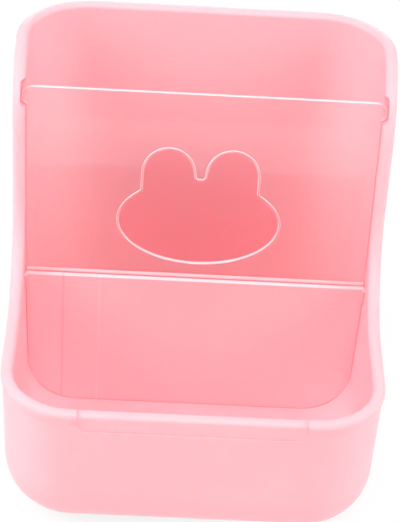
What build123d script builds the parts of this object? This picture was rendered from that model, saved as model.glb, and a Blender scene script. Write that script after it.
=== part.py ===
"""Hay feeder box for rabbits and guinea pigs: a moulded tub with a tall hay hopper at the back and a low
tray at the front, an inclined clear baffle with an animal-head opening, and an upright tray divider.

Millimetres, +Z up, X to the right seen from the front, the front at -Y. The origin is the middle of the
base. The baffle pulls out forward, square to its own face, and the divider lifts straight up.
"""

from build123d import *
import os
from math import asin, atan2, cos, degrees, hypot, radians, sin, tan

os.makedirs("parts", exist_ok=True)

# --- Tub: overall sizes ---
overall_width = 160.0  # over the rim at the top of the hopper
overall_depth = 170.0  # from the front rim to the back rim
back_height = 159.0
tray_height = 67.0
draft = 1.6  # degrees that every wall leans outward as it rises
corner_radius = 27.0  # upright corners, outside, at the base
bottom_radius = 26.0  # rounding between the walls and the base, outside
wall = 4.5
floor_thickness = 2.8
cove_radius = 21.5  # rounding between the walls and the floor, inside

# --- Tub: rim bead and the S-shaped side edge ---
rim_depth = 6.4
rim_proud = 0.7  # the bead stands out from the outer wall by this
rim_width = rim_proud + wall
rim_round = 2.2
rim_blend = 4.0  # height over which the bead runs back into the outer wall
rim_step = 0.05  # left at the foot of that blend
sweep_y = -31.0  # where the level tray rim starts to sweep up
sweep_radius = 48.0
shoulder_y = 61.0  # where the level top rim starts to fall forward
shoulder_radius = 40.0

# --- Tub: shallow recess in the front rim ---
recess_width = 91.0
recess_height = 9.0
recess_depth = 1.3
recess_drop = 1.2  # the rim is lower by this along the recess
recess_radius = 4.0
recess_edge_round = 1.6  # along the front of the rim in the recess

# --- Tray divider ---
divider_y = 5.0  # front face
divider_thickness = 2.2
divider_top = 69.5
divider_side_gap = 0.4  # to the tub's inner wall
divider_corner = 22.0
divider_edge_round = 0.6  # along the top
groove_depth = 0.8  # the divider's foot stands in a groove in the tub's floor

# --- Hay baffle ---
baffle_lean = 17.9  # degrees back from upright
baffle_y = 9.57  # front face at the bottom edge
baffle_bottom = 69.0
baffle_length = 79.1
baffle_thickness = 2.0
baffle_side_gap = 0.5  # to the tub's inner wall
lug_length = 8.0
lug_overlap = 2.0  # each lug reaches past the inner wall by this
lug_top_round = 4.5
lug_foot_round = 2.2
foot_depth = 2.0  # lip along the bottom edge, pointing at the divider
foot_height = 0.8
baffle_edge_round = 0.9  # along the top

# --- Animal-head opening in the baffle, measured up the slope ---
head_centre = 23.7
head_half_width = 33.8
head_half_height = 18.0
ear_radius = 10.6
ear_spacing = 27.0
ear_height = 44.1  # centre of each ear's round top
tongue_round = 2.2  # tip of the plate between the two ears
cheek_round = 1.0  # where an ear meets the head
lip_width = 1.0  # raised lip round the opening
lip_proud = 0.5
lip_round = 0.4

# --- Stops, guide and pockets moulded in the tub ---
slide_gap = 0.3  # running clearance of the two loose plates
guide_thickness = 2.0
stop_reach = 1.2  # of the two short stops in front of the divider's top corners, from the inner wall
stop_height = 6.0  # down from the divider's top
guide_reach = 4.0  # of the guide behind the divider, from the inner wall
guide_top = 63.0
guide_corner = 18.0  # lower corners of the space inside the guide
guide_floor_height = 1.0
pocket_height = 11.3  # up the slope, so that the lugs go in with room above them
pocket_round = 2.0

level_limit = 0.2  # a wall's normal is nearer to level than this, and the rim's top and underside aren't

lean_out = tan(radians(draft))
far = overall_width + overall_depth  # longer than anything here

# Plan of the rim's outer face, carried down to the base.
base_width = overall_width - 2 * back_height * lean_out
base_front = -overall_depth / 2 + tray_height * lean_out
base_back = overall_depth / 2 - back_height * lean_out

# The straight riser is tangent to both arcs of the side edge.
sweep_z = tray_height + sweep_radius
shoulder_z = back_height - shoulder_radius
centre_angle = atan2(shoulder_z - sweep_z, shoulder_y - sweep_y)
centre_distance = hypot(shoulder_y - sweep_y, shoulder_z - sweep_z)
riser_angle = centre_angle + asin((sweep_radius + shoulder_radius) / centre_distance)


def plan_outline(inset, at_height=0.0):
    """Rounded plan of the tub, a given distance inside the rim's outer face."""
    grow = at_height * lean_out - inset
    width = base_width + 2 * grow
    depth = base_back - base_front + 2 * grow
    radius = corner_radius + rim_proud + grow
    with Locations((0, (base_front + base_back) / 2)):
        RectangleRounded(width, depth, radius)


def side_edge(drop):
    """The rim line seen from the side, a given distance under the rim, closed round the space below."""
    low = tray_height - drop
    high = back_height - drop
    rise = sweep_radius + drop
    fall = shoulder_radius - drop
    level = Line((-far, low), (sweep_y, low))
    sweep_arc = JernArc(level @ 1, (1, 0), rise, degrees(riser_angle))
    top_of_riser = (shoulder_y - fall * sin(riser_angle), shoulder_z + fall * cos(riser_angle))
    riser = Line(sweep_arc @ 1, top_of_riser)
    shoulder_arc = JernArc(riser @ 1, riser % 1, fall, -degrees(riser_angle))
    top = Line(shoulder_arc @ 1, (far, high))
    Polyline(top @ 1, (far, -far), (-far, -far), level @ 0)


def back_wall(faces):
    """Of these faces, the upright one that stands furthest back."""
    return faces.filter_by(lambda face: abs(face.normal_at().Z) < level_limit).sort_by(Axis.Y)[-1]


# Rim bead: a ring that follows the side edge, rounded above and running back into the outer wall below.
# Each rounding starts from an edge at the back and runs on round the whole rim.
with BuildPart() as rim_bead:
    with BuildSketch(Plane.XY):
        plan_outline(0)
    extrude(amount=back_height, taper=-draft)
    with BuildSketch(Plane.YZ):
        with BuildLine():
            side_edge(0)
        make_face()
    extrude(amount=far, both=True, mode=Mode.INTERSECT)
    with BuildSketch(Plane.YZ):
        with BuildLine():
            side_edge(rim_depth)
        make_face()
    extrude(amount=far, both=True, mode=Mode.SUBTRACT)
    fillet(back_wall(rim_bead.faces()).edges().sort_by(Axis.Z)[-1], rim_round)
    outer_back = back_wall(rim_bead.faces())
    lower_edge = outer_back.edges().sort_by(Axis.Z)[0]
    chamfer(lower_edge, rim_blend, rim_proud - rim_step, reference=outer_back)
    with BuildSketch(Plane.XY):
        plan_outline(rim_width)
    extrude(amount=back_height, taper=-draft, mode=Mode.SUBTRACT)
    inner_back = back_wall(rim_bead.faces(Select.LAST))
    fillet(inner_back.edges().sort_by(Axis.Z)[-1], rim_round)


def inner_half_width(height):
    """Half of the width between the two inner side walls."""
    return base_width / 2 - rim_proud - wall + height * lean_out


def upright_section(half_top, top, bottom, mode=Mode.ADD):
    """Upright plate across the tub, with side edges that follow the walls."""
    half_bottom = half_top - (top - bottom) * lean_out
    corners = ((-half_top, top), (-half_bottom, bottom), (half_bottom, bottom), (half_top, top))
    Polygon(*corners, align=None, mode=mode)


# The baffle's own plane: its front face, from the middle of the bottom edge, up the slope.
slope_y = sin(radians(baffle_lean))
slope_z = cos(radians(baffle_lean))
slope = Plane(origin=(0, baffle_y, baffle_bottom), x_dir=(1, 0, 0), z_dir=(0, -slope_z, slope_y))

lug_foot = baffle_length - lug_length
wall_at_lugs = inner_half_width(baffle_bottom + lug_foot * slope_z)
lug_half_width = wall_at_lugs + lug_overlap
half_shoulder = wall_at_lugs - baffle_side_gap
half_foot = inner_half_width(baffle_bottom) - baffle_side_gap
half_divider = inner_half_width(divider_top) - divider_side_gap
divider_bottom = floor_thickness - groove_depth + slide_gap
divider_back = divider_y + divider_thickness

# Space inside the tub, rounded where the walls meet the floor.
with BuildPart() as cavity:
    with BuildSketch(Plane.XY.offset(floor_thickness)):
        plan_outline(rim_proud + wall, floor_thickness)
    extrude(amount=back_height, taper=-draft)
    fillet(cavity.faces().sort_by(Axis.Z)[0].edges(), cove_radius)

# Tub: drafted shell, rounded outside and inside, with the bead on its edge.
with BuildPart() as body_shell:
    with BuildSketch(Plane.XY):
        plan_outline(rim_proud)
    extrude(amount=back_height, taper=-draft)
    with BuildSketch(Plane.YZ):
        with BuildLine():
            side_edge(rim_depth / 2)
        make_face()
    extrude(amount=far, both=True, mode=Mode.INTERSECT)
    fillet(body_shell.faces().sort_by(Axis.Z)[0].edges(), bottom_radius)

    add(cavity.part, mode=Mode.SUBTRACT)
    add(rim_bead.part)

    # Guide behind the divider, up both walls and along the floor.
    with BuildSketch(Plane.XZ.offset(-divider_back - slide_gap)) as guide:
        upright_section(inner_half_width(guide_top) + wall / 2, guide_top, floor_thickness / 2)
        fillet(guide.vertices().group_by(Axis.Y)[0], cove_radius)
    extrude(amount=-guide_thickness)
    with BuildSketch(Plane.XZ.offset(-divider_back - slide_gap)) as between:
        half_opening = inner_half_width(back_height) - guide_reach
        upright_section(half_opening, back_height, floor_thickness + guide_floor_height)
        fillet(between.vertices().group_by(Axis.Y)[0], guide_corner)
    extrude(amount=-guide_thickness, mode=Mode.SUBTRACT)

    # Short stops in front of the divider's top corners.
    with BuildSketch(Plane.XZ.offset(slide_gap - divider_y)):
        stop_bottom = divider_top - stop_height
        upright_section(inner_half_width(divider_top) + wall / 2, divider_top, stop_bottom)
        upright_section(inner_half_width(divider_top) - stop_reach, divider_top, stop_bottom, Mode.SUBTRACT)
    extrude(amount=guide_thickness)

    # Groove for the divider's foot: its own outline with the running clearance round it.
    with BuildSketch(Plane.XZ.offset(slide_gap - divider_y)) as groove:
        half_groove = half_divider + slide_gap
        upright_section(half_groove, divider_top, divider_bottom - slide_gap)
        fillet(groove.vertices().group_by(Axis.Y)[0], divider_corner + slide_gap)
    extrude(amount=-divider_thickness - 2 * slide_gap, mode=Mode.SUBTRACT)

    # Pockets in the rim for the baffle's lugs, cut square to the baffle.
    with BuildSketch(slope.offset(-baffle_thickness - slide_gap)):
        with Locations((0, lug_foot - slide_gap + pocket_height / 2)):
            RectangleRounded(2 * (lug_half_width + slide_gap), pocket_height, pocket_round)
    extrude(amount=far, mode=Mode.SUBTRACT)

    # Shallow recess in the middle of the front rim.
    recess_floor = tray_height - recess_height
    with BuildSketch(Plane.XZ.offset(overall_depth / 2)) as recess_face:
        with Locations((0, recess_floor + recess_height)):
            Rectangle(recess_width, 2 * recess_height)
        fillet(recess_face.vertices().group_by(Axis.Y)[0], recess_radius)
    extrude(amount=-recess_depth, mode=Mode.SUBTRACT)
    with BuildSketch(Plane.XZ.offset(overall_depth / 2)):
        with Locations((0, tray_height)):
            Rectangle(recess_width, 2 * recess_drop)
    extrude(amount=-2 * rim_width, mode=Mode.SUBTRACT)
    long_edges = body_shell.edges(Select.LAST).filter_by(Axis.X).group_by(SortBy.LENGTH)[-1]
    fillet(long_edges.sort_by(Axis.Y)[0], recess_edge_round)

# Upright divider between the tray and the hopper.
with BuildPart() as tray_divider:
    with BuildSketch(Plane.XZ.offset(-divider_y)) as divider_face:
        upright_section(half_divider, divider_top, divider_bottom)
        fillet(divider_face.vertices().group_by(Axis.Y)[0], divider_corner)
    extrude(amount=-divider_thickness)
    fillet(tray_divider.edges().filter_by(Axis.X).group_by(Axis.Z)[-1], divider_edge_round)


def head_outline(sketch, grow):
    """Animal head seen from the front: an oval with two tall round-topped ears, grown by a given amount."""
    with Locations((0, head_centre)):
        Ellipse(head_half_width + grow, head_half_height + grow)
    with Locations((-ear_spacing / 2, ear_height), (ear_spacing / 2, ear_height)):
        Circle(ear_radius + grow)
    with Locations((-ear_spacing / 2, head_centre), (ear_spacing / 2, head_centre)):
        Rectangle(2 * (ear_radius + grow), ear_height - head_centre, align=(Align.CENTER, Align.MIN))
    tongue_corners = sketch.vertices().sort_by(lambda v: abs(v.X))[:4].sort_by(Axis.Y)[:2]
    fillet(tongue_corners, tongue_round - grow)
    cheek_corners = sketch.vertices().sort_by(lambda v: abs(v.X))[-5:].sort_by(Axis.Y)[1:3]
    fillet(cheek_corners, cheek_round + grow)


with BuildSketch() as opening:
    head_outline(opening, 0)
with BuildSketch() as lip:
    head_outline(lip, lip_width)

# Sloping baffle with lugs at its top corners, a foot along its bottom edge and the opening.
with BuildPart() as hay_baffle:
    with BuildSketch(slope) as plate:
        with BuildLine():
            Polyline(
                (half_foot, 0),
                (half_shoulder, lug_foot),
                (lug_half_width, lug_foot),
                (lug_half_width, baffle_length),
                (-lug_half_width, baffle_length),
                (-lug_half_width, lug_foot),
                (-half_shoulder, lug_foot),
                (-half_foot, 0),
                close=True,
            )
        make_face()
        fillet(plate.vertices().group_by(Axis.Y)[-1], lug_top_round)
        lower_corners = plate.vertices().filter_by(lambda corner: corner.Y < lug_foot + lug_foot_round)
        fillet(lower_corners.sort_by(lambda corner: abs(corner.X))[-2:], lug_foot_round)
    extrude(amount=-baffle_thickness)
    top_face = hay_baffle.faces().sort_by(Axis(slope.origin, slope.y_dir))[-1]
    fillet(top_face.edges().filter_by(Axis.X), baffle_edge_round)
    with BuildSketch(slope):
        add(lip.sketch)
    extrude(amount=lip_proud)
    with BuildSketch(slope.offset(lip_proud)):
        add(opening.sketch)
    extrude(amount=-lip_proud - baffle_thickness, mode=Mode.SUBTRACT)
    lip_face = hay_baffle.faces().sort_by(Axis(slope.origin, slope.z_dir))[-1]
    fillet(lip_face.edges(), lip_round)
    with BuildSketch(slope):
        with Locations((0, foot_height / 2)):
            Rectangle(2 * half_foot, foot_height)
    extrude(amount=foot_depth)

body_shell.part.label = "body_shell"
export_step(body_shell.part, "parts/body_shell.step")
tray_divider.part.label = "tray_divider"
export_step(tray_divider.part, "parts/tray_divider.step")
hay_baffle.part.label = "hay_baffle"
export_step(hay_baffle.part, "parts/hay_baffle.step")
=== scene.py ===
from math import cos, radians, sin

import bpy
from mathutils import Matrix, Vector

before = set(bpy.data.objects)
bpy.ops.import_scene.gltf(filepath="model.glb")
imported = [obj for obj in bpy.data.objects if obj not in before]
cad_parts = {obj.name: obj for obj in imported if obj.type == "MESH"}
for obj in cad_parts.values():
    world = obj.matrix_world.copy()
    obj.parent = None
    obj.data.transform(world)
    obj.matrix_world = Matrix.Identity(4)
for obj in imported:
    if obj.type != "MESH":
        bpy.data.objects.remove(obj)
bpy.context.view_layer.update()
scene = bpy.context.scene
scene.view_settings.view_transform = "Standard"

# --- Camera ---
# A long lens on a stand in front of the feeder, looking down into it from about 36 degrees. The stand leans a
# little, so the picture is turned by under 4 degrees, and the feeder sits just off the middle of the frame.
LENS_MM = 137.93
SENSOR_MM = 36.0
FRAME_HEIGHT_PX = 522
CENTRE_RIGHT_PX = 4.16
CENTRE_UP_PX = 34.2
CAMERA_PLACE = (-0.0203, -0.6852, 0.5635)
CAMERA_RIGHT = (0.99856, 0.00831, 0.05308)
CAMERA_FORWARD = (0.0245, 0.8088, -0.5875)
camera_data = bpy.data.cameras.new("camera")
camera_data.lens = LENS_MM
camera_data.sensor_width = SENSOR_MM
camera_data.shift_x = CENTRE_RIGHT_PX / FRAME_HEIGHT_PX
camera_data.shift_y = CENTRE_UP_PX / FRAME_HEIGHT_PX
camera_data.clip_start = 0.05
forward = Vector(CAMERA_FORWARD).normalized()
up = Vector(CAMERA_RIGHT).cross(forward).normalized()
turn = Matrix((forward.cross(up), up, -forward)).transposed()
camera = bpy.data.objects.new("camera", camera_data)
camera.matrix_world = Matrix.Translation(CAMERA_PLACE) @ turn.to_4x4()
scene.collection.objects.link(camera)
scene.camera = camera

# --- Surround ---
# An even white surround lights the feeder from everywhere. It shows as plain white straight to the camera, in
# reflections and through the clear baffle.
SURROUND_LEVEL = 0.28
WHITE = (1.0, 1.0, 1.0, 1.0)


def linear(hex_colour):
    """An sRGB hex colour as linear RGBA."""
    channels = [int(hex_colour[i : i + 2], 16) / 255 for i in (1, 3, 5)]
    return [c / 12.92 if c <= 0.04045 else ((c + 0.055) / 1.055) ** 2.4 for c in channels] + [1.0]


def add_node(tree, kind, settings=None, **sockets):
    """Adds one node. Each socket is named in full, or i0, i1 for its place, and takes a value or output."""
    node = tree.nodes.new(kind)
    for name, value in (settings or {}).items():
        setattr(node, name, value)
    for name, value in sockets.items():
        by_place = name[0] == "i" and name[1:].isdigit()
        socket = node.inputs[int(name[1:]) if by_place else name.replace("_", " ")]
        if isinstance(value, bpy.types.NodeSocket):
            tree.links.new(value, socket)
        else:
            socket.default_value = value
    return node


def math(tree, operation, first, second=0.0):
    """The output of one Math node."""
    return add_node(tree, "ShaderNodeMath", {"operation": operation}, i0=first, i1=second).outputs[0]


def seen(tree):
    """One for rays that show a surface: straight to the camera, in a reflection or through clear plastic."""
    path = add_node(tree, "ShaderNodeLightPath").outputs
    direct = math(tree, "MAXIMUM", path["Is Camera Ray"], path["Is Glossy Ray"])
    return math(tree, "MAXIMUM", direct, path["Is Transmission Ray"])


world = bpy.data.worlds.new("white surround")
world.use_nodes = True
scene.world = world
tree = world.node_tree
tree.nodes.clear()
lighting = add_node(tree, "ShaderNodeBackground", Color=WHITE, Strength=SURROUND_LEVEL)
backdrop = add_node(tree, "ShaderNodeBackground", Color=WHITE, Strength=1.0)
either = add_node(tree, "ShaderNodeMixShader", i0=seen(tree), i1=lighting.outputs[0], i2=backdrop.outputs[0])
add_node(tree, "ShaderNodeOutputWorld", Surface=either.outputs[0])

# --- Soft boxes ---
# Square soft boxes a metre from the feeder, each facing its middle: one on each side, above the rim, one
# high in front that reaches down into the tray and the hopper, and a low one behind. Each row is a name,
# the angle round the feeder from the front, the angle above the floor, and the power.
AIM = Vector((0.0, 0.0, 0.08))
SOFT_BOX_SIDE = 0.6
SOFT_BOX_DISTANCE = 1.0
SOFT_BOXES = (
    ("left soft box", -80, 35, 8.0),
    ("right soft box", 80, 35, 6.3),
    ("high soft box", 0, 60, 5.5),
    ("back soft box", 180, 12, 3.5),
)
for name, round_degrees, up_degrees, watts in SOFT_BOXES:
    light = bpy.data.lights.new(name, "AREA")
    light.size = SOFT_BOX_SIDE
    light.energy = watts
    lamp = bpy.data.objects.new(name, light)
    turned, raised = radians(round_degrees), radians(up_degrees)
    outward = Vector((sin(turned) * cos(raised), -cos(turned) * cos(raised), sin(raised)))
    lamp.location = AIM + SOFT_BOX_DISTANCE * outward
    lamp.rotation_mode = "QUATERNION"
    lamp.rotation_quaternion = (-outward).to_track_quat("-Z", "Y")
    scene.collection.objects.link(lamp)

# --- Floor ---
# A sheet of matt white card under the feeder. Where it is seen it glows, so that it melts into the surround,
# and it still takes the feeder's own soft shadow.
FLOOR_SIDE = 6.0
FLOOR_GAP = 0.0002  # under the base, so that the two faces don't meet
FLOOR_COLOUR = "#F4F4F4"
FLOOR_GLOW = 0.86  # share of the card's lit colour that gives way to plain white, close to the feeder
GLOW_FROM = 0.25  # from here outward the share rises, until the card is as white as the surround
GLOW_FULL = 0.70


def new_material(name):
    """A node material with an empty tree."""
    material = bpy.data.materials.new(name)
    material.use_nodes = True
    material.node_tree.nodes.clear()
    return material


def map_range(tree, value, span, result, smooth=False):
    """Maps a value from one span to another, held at both ends, and returns the output."""
    settings = {"interpolation_type": "SMOOTHSTEP"} if smooth else {}
    return add_node(tree, "ShaderNodeMapRange", settings, Value=value, From_Min=span[0], From_Max=span[1],
                    To_Min=result[0], To_Max=result[1]).outputs[0]


half = FLOOR_SIDE / 2
sheet = bpy.data.meshes.new("floor")
corners = [(x, y, -FLOOR_GAP) for x, y in ((-half, -half), (half, -half), (half, half), (-half, half))]
sheet.from_pydata(corners, [], [(0, 1, 2, 3)])
floor = bpy.data.objects.new("floor", sheet)
scene.collection.objects.link(floor)
card = new_material("matt white card")
tree = card.node_tree
matt = add_node(tree, "ShaderNodeBsdfDiffuse", Color=linear(FLOOR_COLOUR))
glow = add_node(tree, "ShaderNodeEmission", Color=WHITE, Strength=1.0)
spot = add_node(tree, "ShaderNodeTexCoord").outputs["Object"]
distance = add_node(tree, "ShaderNodeVectorMath", {"operation": "LENGTH"}, i0=spot)
glow_span = (GLOW_FROM, GLOW_FULL)
glow_share = map_range(tree, distance.outputs["Value"], glow_span, (FLOOR_GLOW, 1.0), smooth=True)
share = math(tree, "MULTIPLY", seen(tree), glow_share)
either = add_node(tree, "ShaderNodeMixShader", i0=share, i1=matt.outputs[0], i2=glow.outputs[0])
add_node(tree, "ShaderNodeOutputMaterial", Surface=either.outputs[0])
sheet.materials.append(card)

# --- Tub ---
# One injection moulding in pink polypropylene, 4.5 mm thick at the walls, from a fine-textured mould. To
# the eye it is a soft satin pink and a little milky: light soaks in, so that edges look paler and hollows a
# deeper pink.
PINK = "#FFBAC1"
PINK_DEEPER = "#FFB3BB"
SPECULAR_LEVEL = 0.25  # a dull shine: the fine texture scatters half of what a smooth face would reflect
SATIN = (0.36, 0.46)  # roughness, which follows the ripple
RIPPLE_SPAN = (0.3, 0.7)  # the part of the noise's range that holds nearly all of it
POLYPROPYLENE_IOR = 1.49
FLOW_MM = 45.0  # the colour drifts over about this distance, as the melt flowed
RIPPLE_MM = 16.0  # the wall's slight waviness
RIPPLE_HEIGHT_MM = 0.03
TEXTURE_MM = 0.5  # the mould's texture is finer, and is drawn as coarse as it needs to show
TEXTURE_HEIGHT_MM = 0.004
MILKY_SHARE = 0.3
MILKY_DEPTH_MM = 4.0
MILKY_RADIUS = (1.0, 0.35, 0.35)  # red light travels furthest
MM = 0.001


def polypropylene(name, deeper, paler):
    """Moulded polypropylene that drifts between two pinks. Returns the material, its shader, the colour and
    the place on the piece, for more marks."""
    material = new_material(name)
    tree = material.node_tree
    place = add_node(tree, "ShaderNodeTexCoord").outputs["Object"]
    flow = add_node(tree, "ShaderNodeTexNoise", Vector=place, Scale=1 / (FLOW_MM * MM), Detail=2.0,
                    Roughness=0.5)
    colour = add_node(tree, "ShaderNodeMix", {"data_type": "RGBA"}, i0=flow.outputs["Fac"],
                      i6=linear(deeper), i7=linear(paler))
    ripple = add_node(tree, "ShaderNodeTexNoise", Vector=place, Scale=1 / (RIPPLE_MM * MM), Detail=4.0)
    roughness = map_range(tree, ripple.outputs["Fac"], RIPPLE_SPAN, SATIN)
    grain = add_node(tree, "ShaderNodeTexNoise", Vector=place, Scale=1 / (TEXTURE_MM * MM), Detail=1.0)
    textured = add_node(tree, "ShaderNodeBump", Height=grain.outputs["Fac"], Strength=1.0,
                        Distance=TEXTURE_HEIGHT_MM * MM)
    rippled = add_node(tree, "ShaderNodeBump", Height=ripple.outputs["Fac"], Strength=1.0,
                       Distance=RIPPLE_HEIGHT_MM * MM, Normal=textured.outputs[0])
    shader = add_node(tree, "ShaderNodeBsdfPrincipled", Base_Color=colour.outputs[2],
                      Roughness=roughness, Normal=rippled.outputs[0], IOR=POLYPROPYLENE_IOR,
                      Specular_IOR_Level=SPECULAR_LEVEL, Subsurface_Weight=MILKY_SHARE,
                      Subsurface_Scale=MILKY_DEPTH_MM * MM, Subsurface_Radius=MILKY_RADIUS)
    add_node(tree, "ShaderNodeOutputMaterial", Surface=shader.outputs[0])
    return material, shader, colour.outputs[2], place


def finish_node(node, material):
    """Gives one CAD node this material."""
    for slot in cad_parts[node].material_slots:
        slot.material = material


tub_plastic, _, _, _ = polypropylene("moulded pink polypropylene", PINK_DEEPER, PINK)
finish_node("body_shell", tub_plastic)

# --- Divider ---
# A loose upright plate of the same polypropylene, 2.2 mm thick, whose foot stands in a groove in the tub's
# floor. It is thinner than the tub's walls. Its pinks are painted paler than the tub's, standing in for light
# that comes through the thin plate. Two faint upright lines, one darker and one paler, are drawn on it, and
# its upright edges have a painted glow.
# Painted light: both plate pinks are paler than the tub's, standing in for light coming through the thin
# plate.
PLATE_PINK_PAINTED_PALER = "#FFCBD1"
PLATE_PINK_DEEPER_PAINTED_PALER = "#FFC4CA"
PAINTED_EDGE_GLOW = 0.65  # painted glow: the plate's upright edges emit light, standing in for light that soaks through the plastic
EDGE_TURN = (0.6, 0.9)  # a face is an upright edge when its normal points sideways by this much
# Two faint upright lines in the plate's colour, one darker and one paler.
UPRIGHT_LINES = (  # place across the plate and half width in mm, strength, colour
    (-56.0, 0.8, 0.55, "#F3A9B2"),
    (-40.5, 0.7, 0.45, "#FFDCE0"),
)
divider_plastic, plate_shader, plate_colour, place = polypropylene(
    "moulded pink polypropylene plate", PLATE_PINK_DEEPER_PAINTED_PALER, PLATE_PINK_PAINTED_PALER)
tree = divider_plastic.node_tree
across = add_node(tree, "ShaderNodeSeparateXYZ", Vector=place).outputs["X"]
for line_mm, half_mm, line_strength, line_colour in UPRIGHT_LINES:
    aside = math(tree, "ABSOLUTE", math(tree, "SUBTRACT", across, line_mm * MM))
    strength = map_range(tree, aside, (0.0, half_mm * MM), (line_strength, 0.0))
    plate_colour = add_node(tree, "ShaderNodeMix", {"data_type": "RGBA"}, i0=strength,
                            i6=plate_colour, i7=linear(line_colour)).outputs[2]
tree.links.new(plate_colour, plate_shader.inputs["Base Color"])
facing = add_node(tree, "ShaderNodeTexCoord").outputs["Normal"]
sideways = math(tree, "ABSOLUTE", add_node(tree, "ShaderNodeSeparateXYZ", Vector=facing).outputs["X"])
# Painted glow: the plate's upright edges emit a deeper pink, standing in for light that soaks through the
# plastic and keeps the gap by the tub's walls from going dark.
plate_shader.inputs["Emission Color"].default_value = linear(PLATE_PINK_DEEPER_PAINTED_PALER)
painted_glow_strength = map_range(tree, sideways, EDGE_TURN, (0.0, PAINTED_EDGE_GLOW))
tree.links.new(painted_glow_strength, plate_shader.inputs["Emission Strength"])
finish_node("tray_divider", divider_plastic)

# --- Baffle ---
# A loose 2 mm plate of clear polystyrene with polished faces. Its edges scatter light and show as pale lines,
# its foot is a pale band, and a painted reflection lies on its faces: a pale overlay at the sides and in a
# band across the ears.
POLYSTYRENE_IOR = 1.58
CLEAR_TINT = "#FBF4F5"
POLISHED = 0.04  # roughness
SCATTERING = 0.35  # roughness
EDGE_PALE = "#FFE6E9"
EDGE_FROST = 0.7
OFF_THE_FACE = (0.985, 0.80)  # a surface turns from face to edge as its normal leaves the plate's own
FOOT_PALE = "#FFC6CC"
FOOT_FROST = 0.85
FOOT_TOP = 0.0710  # a height between the foot and the opening
PLATE_NORMAL = (0.0, -0.9515943, 0.3073567)
PLATE_FACE = 0.0121016  # the front face's distance from the origin, along that normal
RAISED_MM = (0.1, 0.3)  # the foot starts this far in front of the face
PAINTED_REFLECTION_SIDES = 0.055
SIDES_MM = (30.0, 62.0)  # from the middle: where that painted reflection starts, and where it is full
PAINTED_REFLECTION_BAND = 0.035
BAND_FOOT_MM = (111.2, 114.2)  # heights over which the band sets in
BAND_HEAD_MM = (129.4, 136.4)  # and over which it fades out


def in_metres(span_mm):
    """Both ends of a span, from mm."""
    return [end * MM for end in span_mm]


def scattering(tree, colour):
    """Clear plastic whose surface is rough enough to look white, with a slight tint."""
    return add_node(tree, "ShaderNodeBsdfPrincipled", Base_Color=linear(colour), Roughness=SCATTERING,
                    IOR=POLYSTYRENE_IOR).outputs[0]


def mixed(tree, share, first, second):
    """The output of one Mix Shader node."""
    return add_node(tree, "ShaderNodeMixShader", i0=share, i1=first, i2=second).outputs[0]


clear_plastic = new_material("clear moulded polystyrene")
tree = clear_plastic.node_tree
coordinates = add_node(tree, "ShaderNodeTexCoord").outputs
facing = add_node(tree, "ShaderNodeVectorMath", {"operation": "DOT_PRODUCT"},
                  i0=coordinates["Normal"], i1=PLATE_NORMAL)
flatness = math(tree, "ABSOLUTE", facing.outputs["Value"])
edge_share = map_range(tree, flatness, OFF_THE_FACE, (0.0, EDGE_FROST))
level = add_node(tree, "ShaderNodeVectorMath", {"operation": "DOT_PRODUCT"},
                 i0=coordinates["Object"], i1=PLATE_NORMAL)
raised = map_range(tree, level.outputs["Value"], [PLATE_FACE + step for step in in_metres(RAISED_MM)],
                   (0.0, FOOT_FROST))
across, _, height = add_node(tree, "ShaderNodeSeparateXYZ", Vector=coordinates["Object"]).outputs
foot_share = math(tree, "MULTIPLY", raised, math(tree, "LESS_THAN", height, FOOT_TOP))
aside = math(tree, "ABSOLUTE", across)
# Painted reflection: a pale overlay at the sides and in a band across the ears, standing in for reflected
# light on the plate.
painted_reflection_sides = map_range(tree, aside, in_metres(SIDES_MM), (0.0, PAINTED_REFLECTION_SIDES), smooth=True)
above = map_range(tree, height, in_metres(BAND_FOOT_MM), (0.0, PAINTED_REFLECTION_BAND), smooth=True)
below = map_range(tree, height, in_metres(BAND_HEAD_MM), (1.0, 0.0), smooth=True)
painted_reflection_share = math(tree, "ADD", painted_reflection_sides, math(tree, "MULTIPLY", above, below))
glass = add_node(tree, "ShaderNodeBsdfPrincipled", Base_Color=linear(CLEAR_TINT), Roughness=POLISHED,
                 IOR=POLYSTYRENE_IOR, Transmission_Weight=1.0)
clear = add_node(tree, "ShaderNodeBsdfTransparent", Color=linear(CLEAR_TINT))
pale = scattering(tree, EDGE_PALE)
path = add_node(tree, "ShaderNodeLightPath").outputs
lighting_ray = math(tree, "MAXIMUM", path["Is Shadow Ray"], path["Is Diffuse Ray"])
faces = mixed(tree, lighting_ray, mixed(tree, painted_reflection_share, glass.outputs[0], pale), clear.outputs[0])
edged = mixed(tree, edge_share, faces, pale)
footed = mixed(tree, foot_share, edged, scattering(tree, FOOT_PALE))
add_node(tree, "ShaderNodeOutputMaterial", Surface=footed)
finish_node("hay_baffle", clear_plastic)
